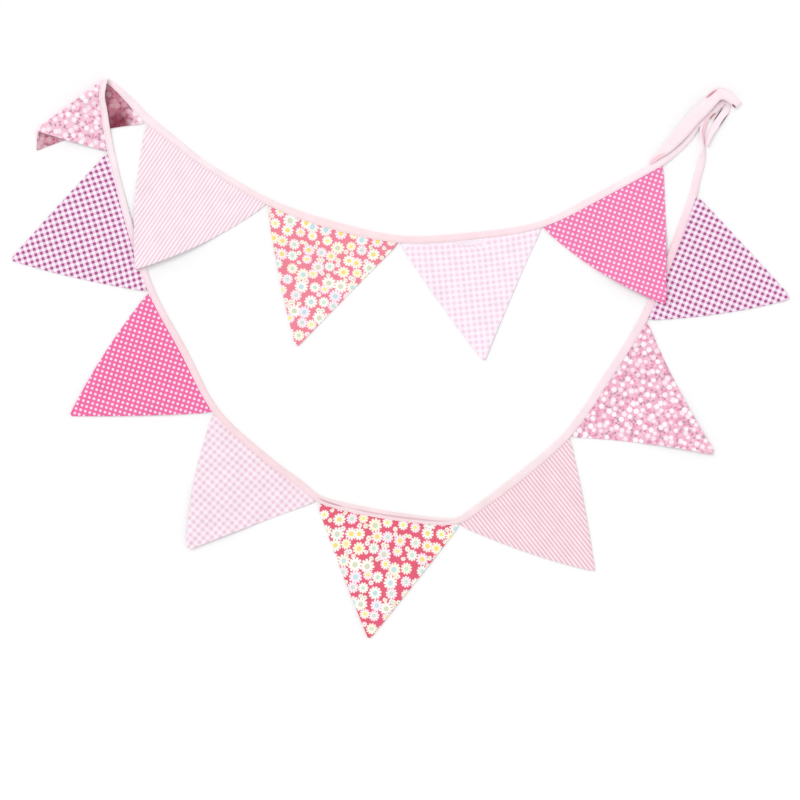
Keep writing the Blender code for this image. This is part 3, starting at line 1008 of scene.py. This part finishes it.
@dataclass
class BindingTape(ClothPiece):
    """The folded tape. It is followed from the upper tie's free end, cut by cut."""

    free_end: tuple[float, float, float] = (354.6, 278.4, 5.4)
    points_in_a_cut: int = 12
    stitch_mm: float = 2.6
    stitch_pitch_mm: float = 3.4
    stitch_inset_mm: float = 1.7
    # A real sewing thread is 0.25 mm wide. It is drawn at 0.5 mm, so that it shows.
    thread_wide_mm: float = 0.5
    thread_high_mm: float = 0.28
    thread_sunk_mm: float = 0.03
    # No stitches show where the tape's fold is drawn open, nor where it turns fast from cut to cut
    widest_stitched_mm: float = 12.8
    least_in_line: float = 0.9
    thread: WovenCotton = SEWING_THREAD

    def cuts(self, mesh: bmesh.types.BMesh) -> list[list[bmesh.types.BMVert]]:
        """The points of each cut across the tape, from its free end on.

        Args:
            mesh: the merged copy of the tape's solid.

        Returns:
            One list of points for each cut.
        """
        end = laid(*self.free_end[:2]) + UP * self.free_end[2] * MM
        nearest = sorted(mesh.verts, key=lambda vert: (vert.co - end).length)
        rings = [nearest[: self.points_in_a_cut]]
        seen = set(rings[0])
        while rings[-1]:
            linked = {edge.other_vert(vert) for vert in rings[-1] for edge in vert.link_edges} - seen
            seen |= linked
            rings.append(sorted(linked, key=lambda vert: vert.index))
        return rings[:-1]

    def frames(self, rings: list[list[bmesh.types.BMVert]]) -> list[TapeFrame]:
        """Measures every cut.

        Args:
            rings: the points of each cut.

        Returns:
            A frame for each cut.
        """
        middles = [sum((vert.co for vert in ring), Vector()) / len(ring) for ring in rings]
        found, reached = [], 0.0
        for number, (ring, middle) in enumerate(zip(rings, middles)):
            along = (middles[min(number + 1, len(rings) - 1)] - middles[max(number - 1, 0)]).normalized()
            # The way across is the one in which the cut's points spread most
            spread = np.array([vert.co - middle for vert in ring])
            across = Vector(np.linalg.svd(spread)[2][0])
            across = (across - along * across.dot(along)).normalized()
            shares = [(vert.co - middle).dot(across) for vert in ring]
            # The tape's bend has most of the points, so its open side is the one further from their middle
            if max(shares) > -min(shares):
                across = -across
                shares = [-share for share in shares]
            through = along.cross(across)
            depths = [(vert.co - middle).dot(through) for vert in ring]
            if number:
                reached += (middle - middles[number - 1]).length
            ends = (min(shares), max(shares) - min(shares), max(depths), min(depths))
            found.append(TapeFrame(middle, reached, across, through, *ends))
        return found

    def build(self) -> list[bpy.types.Object]:
        """Builds the tape's cloth and its stitching.

        Returns:
            The two finished pieces.
        """
        mesh = self.merged_copy()
        mesh.verts.index_update()
        rings = self.cuts(mesh)
        frames = self.frames(rings)
        places = {
            vert.index: (frame.reached, (vert.co - frame.middle).dot(frame.across) - frame.open_side)
            for ring, frame in zip(rings, frames)
            for vert in ring
        }
        self.map_print(mesh, places)
        self.round_edges(mesh)
        tape = self.subdivided(mesh)
        self.settle(tape)
        log.info("tape: %d cuts, %.3f m long", len(frames), frames[-1].reached)
        return [tape, self.stitching(frames)]

    def sew(self, mesh: bmesh.types.BMesh, middle: Vector, ways: Matrix, depth: float) -> None:
        """Adds one stitch.

        Args:
            mesh: the stitches so far.
            middle: the stitch's place on the tape's middle plane.
            ways: the ways along, across and through the tape, one a row.
            depth: how far through the tape from its middle plane the face is that it lies on.
        """
        halves = Vector((self.stitch_mm, self.thread_wide_mm, self.thread_high_mm)) * MM / 2
        on_face = depth - math.copysign(self.thread_sunk_mm * MM, depth)
        where = Matrix.Translation(middle + ways[2] * on_face)
        turned = ways.transposed().to_4x4()
        sized = Matrix.Diagonal((*halves, 1.0))
        bmesh.ops.create_icosphere(mesh, subdivisions=1, radius=1.0, matrix=where @ turned @ sized)

    def stitching(self, frames: list[TapeFrame]) -> bpy.types.Object:
        """Sews a row of stitches along the open edge, on both faces of the tape.

        Args:
            frames: the tape's frames in order.

        Returns:
            The stitches as one piece.
        """
        mesh = bmesh.new()
        number = 0
        place = self.stitch_pitch_mm * MM
        while place < frames[-1].reached:
            while frames[number + 1].reached < place:
                number += 1
            first, second = frames[number], frames[number + 1]
            share = (place - first.reached) / (second.reached - first.reached)
            place += self.stitch_pitch_mm * MM
            wide = first.width > self.widest_stitched_mm * MM
            if wide or first.across.dot(second.across) < self.least_in_line:
                continue
            along = (second.middle - first.middle).normalized()
            across = first.across.lerp(second.across, share).normalized()
            ways = Matrix((along, across, along.cross(across)))
            inset = first.open_side + (second.open_side - first.open_side) * share + self.stitch_inset_mm * MM
            middle = first.middle.lerp(second.middle, share) + across * inset
            for depth in (first.above, first.below):
                self.sew(mesh, middle, ways, depth)
        thing = add_mesh("tape_stitching", mesh)
        thing.data.shade_smooth()
        thing.data.materials.append(self.thread.material())
        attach(thing, BODY)
        log.info("%s: %d faces", thing.name, len(thing.data.polygons))
        return thing


@dataclass
class Bunting:
    """The twelve pennants and their tape."""

    # Where pennants meet on the tape's sewn edge, in the layout's millimetres
    upper_meetings: tuple[tuple[float, float], ...] = (
        (375.5, 276.7),
        (201.5, 187.3),
        (-2.0, 165.5),
        (-191.5, 219.5),
        (-364.5, 335.9),
    )
    lower_meetings: tuple[tuple[float, float], ...] = (
        (-419.3, 294.9),
        (-361.2, 95.1),
        (-268.7, -77.5),
        (-120.4, -204.5),
        (83.8, -238.1),
        (241.8, -112.3),
        (351.6, 54.3),
        (423.1, 233.8),
    )
    seed_step: float = 11.3

    def finishes(self) -> dict[str, WovenCotton]:
        """Chooses the cottons.

        Returns:
            The cotton of each pennant, by its node's name.
        """
        daisies = {"large": DAISY_LARGE, "small": DAISY_SMALL}
        sprigs = {"large": SPRIG_LARGE, "small": SPRIG_LEAVES}
        pale_upper = {"half_dyed": "#FBEAF5", "full_dyed": "#F3D6E8", "pitch_mm": 8.5}
        pale_lower = {"half_dyed": "#F6E1EB", "full_dyed": "#ECC9DA", "pitch_mm": 8.5}
        return {
            "pennant_01_polka": PolkaCotton("polka_cotton_upper", "#F17BB0"),
            "pennant_02_light_gingham": GinghamCotton("light_gingham_cotton_upper", "#FDF2FB", **pale_upper),
            "pennant_03_daisy": FloweredCotton("daisy_cotton_upper", "#F0869A", **daisies),
            "pennant_04_stripe": StripedCotton("striped_cotton_upper", "#FDF3F9"),
            "pennant_05_small_floral_folded": ShadedFoldCotton(
                "small_floral_cotton_folded", "#F5C3D7", **sprigs
            ),
            "pennant_06_purple_gingham": GinghamCotton("purple_gingham_cotton_left", "#FDF4FC"),
            "pennant_07_polka": PolkaCotton("polka_cotton_lower", "#F06CA4"),
            "pennant_08_light_gingham": GinghamCotton("light_gingham_cotton_lower", "#FAEDF5", **pale_lower),
            "pennant_09_daisy": FloweredCotton("daisy_cotton_lower", "#E5607A", **daisies),
            "pennant_10_stripe": StripedCotton("striped_cotton_lower", "#FBE8EE", stripe_ink="#EABECA"),
            "pennant_11_small_floral": FloweredCotton("small_floral_cotton_right", "#F1B4CB", **sprigs),
            "pennant_12_purple_gingham": GinghamCotton("purple_gingham_cotton_right", "#FDF0FA"),
        }

    def pennants(self) -> list[Pennant]:
        """Lists the pennants.

        Returns:
            The flat ones in order, and then the folded one.
        """
        cloths = self.finishes()
        upper = list(zip(self.upper_meetings, self.upper_meetings[1:]))
        lower = list(zip(self.lower_meetings, self.lower_meetings[1:]))
        # Node, slot, seam, tip, and how far the seam bows away from the tip, in the layout's millimetres
        rows = (
            ("pennant_01_polka", Slot.POLKA, upper[0], (376.9, 78.4), 1.0),
            ("pennant_02_light_gingham", Slot.LIGHT_GINGHAM, upper[1], (118.6, -1.8), -6.0),
            ("pennant_03_daisy", Slot.DAISY, upper[2], (-149.0, 18.6), -7.0),
            ("pennant_04_stripe", Slot.STRIPE, upper[3], (-378.8, 128.4), -2.0),
            ("pennant_06_purple_gingham", Slot.PURPLE_GINGHAM, lower[0], (-555.4, 141.6), 5.0),
            ("pennant_07_polka", Slot.POLKA, lower[1], (-471.6, -80.4), 1.0),
            ("pennant_08_light_gingham", Slot.LIGHT_GINGHAM, lower[2], (-303.9, -270.0), 3.0),
            ("pennant_09_daisy", Slot.DAISY, lower[3], (-45.2, -399.2), 7.0),
            ("pennant_10_stripe", Slot.STRIPE, lower[4], (276.4, -302.8), 4.0),
            ("pennant_11_small_floral", Slot.SMALL_FLORAL, lower[5], (445.6, -134.2), 3.0),
            ("pennant_12_purple_gingham", Slot.PURPLE_GINGHAM, lower[6], (554.6, 86.8), 3.0),
        )
        found = []
        for number, (name, slot, (start, end), tip, rise) in enumerate(rows):
            pennant = Pennant(name, slot, cloths[name], start=start, end=end, tip=tip, seam_rise_mm=rise)
            pennant.seed = number * self.seed_step
            found.append(pennant)
        folded = "pennant_05_small_floral_folded"
        found.append(
            FoldedPennant(
                folded,
                Slot.SMALL_FLORAL,
                cloths[folded],
                start=self.upper_meetings[-1],
                end=self.lower_meetings[0],
                tip=(-521.1, 296.7),
                fold_from=(-425.0, 397.0),
                fold_to=(-519.5, 328.6),
            )
        )
        return found

    def build(self) -> None:
        """Builds every cloth."""
        for pennant in self.pennants():
            pennant.build()
        finish = FoldedTape("bias_tape_cotton", "#FBE2E7")
        BindingTape("binding_tape", Slot.TAPE, finish, turned_edge_mm=0.3).build()


@dataclass
class Studio:
    """A pale surface, soft light from the upper left, and a camera straight above."""

    floor_size: float = 6.0
    floor_gap_mm: float = 0.15
    view_middle: tuple[float, float] = (-1.3, -59.3)
    view_width: float = 1.144
    lens_mm: float = 180.0
    sensor_mm: float = 36.0
    sky: float = 0.84
    sun: float = 0.8
    sun_spread: float = 30.0
    sun_way: tuple[float, float, float] = (0.45, -0.4, -1.0)

    def floor(self) -> None:
        """Lays the surface, just under the cloth."""
        mesh = bmesh.new()
        bmesh.ops.create_grid(mesh, x_segments=1, y_segments=1, size=self.floor_size / 2)
        bmesh.ops.translate(mesh, verts=mesh.verts, vec=-UP * self.floor_gap_mm * MM)
        thing = add_mesh("surface", mesh)
        material = bpy.data.materials.new("matt_white_board")
        material.use_nodes = True
        shader = material.node_tree.nodes["Principled BSDF"]
        shader.inputs["Base Color"].default_value = linear("#FAFAFA")
        shader.inputs["Roughness"].default_value = 0.95
        shader.inputs["Specular IOR Level"].default_value = 0.1
        thing.data.materials.append(material)

    def lights(self) -> None:
        """Adds an even sky and one broad sun."""
        scene = bpy.context.scene
        scene.world = bpy.data.worlds.new("studio")
        scene.world.use_nodes = True
        background = scene.world.node_tree.nodes["Background"]
        background.inputs["Color"].default_value = (1.0, 1.0, 1.0, 1.0)
        background.inputs["Strength"].default_value = self.sky
        lamp = bpy.data.lights.new("soft_sun", "SUN")
        lamp.energy = self.sun
        lamp.angle = math.radians(self.sun_spread)
        thing = add_object("soft_sun", lamp)
        thing.rotation_euler = Vector(self.sun_way).to_track_quat("-Z", "Y").to_euler()
        scene.view_settings.view_transform = "Standard"

    def camera(self) -> None:
        """Puts the camera over the middle of the photo's frame, far off with a long lens."""
        data = bpy.data.cameras.new("camera")
        data.lens = self.lens_mm
        data.sensor_width = self.sensor_mm
        data.dof.use_dof = False
        thing = add_object("camera", data)
        height = self.view_width * self.lens_mm / data.sensor_width
        thing.location = laid(*self.view_middle) + UP * height
        data.clip_end = height * 4.0
        bpy.context.scene.camera = thing

    def build(self) -> None:
        """Builds the studio."""
        self.floor()
        self.lights()
        self.camera()


def main() -> None:
    """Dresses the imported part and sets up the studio."""
    logging.basicConfig(level=logging.INFO, format="%(name)s: %(message)s")
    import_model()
    Bunting().build()
    Studio().build()


if __name__ == "__main__":
    main()
